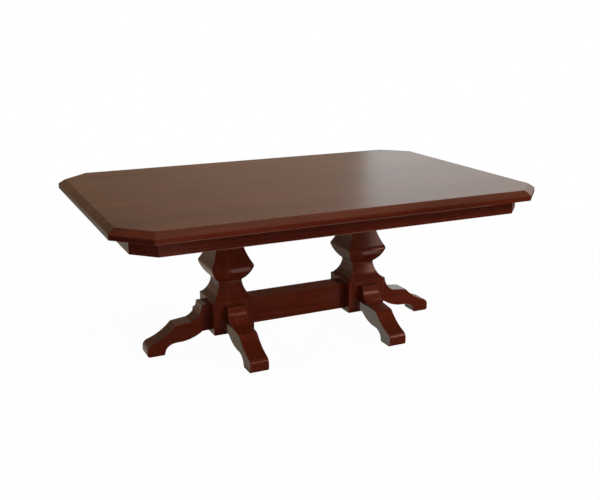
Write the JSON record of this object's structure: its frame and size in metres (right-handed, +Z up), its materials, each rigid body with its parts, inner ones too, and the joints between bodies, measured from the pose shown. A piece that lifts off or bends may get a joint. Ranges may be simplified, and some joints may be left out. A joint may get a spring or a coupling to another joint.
{
  "type": "double pedestal dining table",
  "caption": "Long dining table with clipped corners, a bevelled rim and a set-back apron, on square profiled pedestals with curved legs, joined by a low stretcher.",
  "frame": {"origin": "on the floor under the middle of the top", "axes": "+X along the length, -Y towards the front, +Z up"},
  "size_m": [2.032, 1.346, 0.762],
  "materials": {
    "top_wood": "dark red-brown stain under satin lacquer",
    "rim_wood": "dark red-brown stain under satin lacquer",
    "base_wood": "dark red-brown stain under satin lacquer",
    "inner_wood": "sealed, unstained hardwood",
    "dowel_wood": "bare",
    "steel": "zinc plated",
    "glide": "matte nylon"
  },
  "bodies": {
    "root": {"apron_back": "rim_wood", "apron_back_left": "rim_wood", "apron_back_right": "rim_wood", "apron_front": "rim_wood", "apron_front_left": "rim_wood", "apron_front_right": "rim_wood", "apron_left": "rim_wood", "apron_right": "rim_wood", "batten_left": "inner_wood", "batten_middle": "inner_wood", "batten_right": "inner_wood", "batten_screws": "steel", "bearer_bolts_left": "steel", "bearer_bolts_right": "steel", "bearer_left": "inner_wood", "bearer_right": "inner_wood", "bearer_screws": "steel", "brace_screws": "steel", "corner_brace_back_left": "inner_wood", "corner_brace_back_right": "inner_wood", "corner_brace_front_left": "inner_wood", "corner_brace_front_right": "inner_wood", "edge_strip_back": "rim_wood", "edge_strip_back_left": "rim_wood", "edge_strip_back_right": "rim_wood", "edge_strip_front": "rim_wood", "edge_strip_front_left": "rim_wood", "edge_strip_front_right": "rim_wood", "edge_strip_left": "rim_wood", "edge_strip_right": "rim_wood", "foot_glides_left": "glide", "foot_glides_right": "glide", "leg_dowels_left": "dowel_wood", "leg_dowels_right": "dowel_wood", "leg_left_back": "base_wood", "leg_left_front": "base_wood", "leg_left_outer": "base_wood", "leg_right_back": "base_wood", "leg_right_front": "base_wood", "leg_right_outer": "base_wood", "post_left": "base_wood", "post_right": "base_wood", "stretcher": "base_wood", "top_board_1": "top_wood", "top_board_2": "top_wood", "top_board_3": "top_wood", "top_board_4": "top_wood", "top_board_5": "top_wood", "top_board_6": "top_wood", "top_board_7": "top_wood", "top_board_8": "top_wood", "top_board_9": "top_wood"}
  },
  "joints": []
}
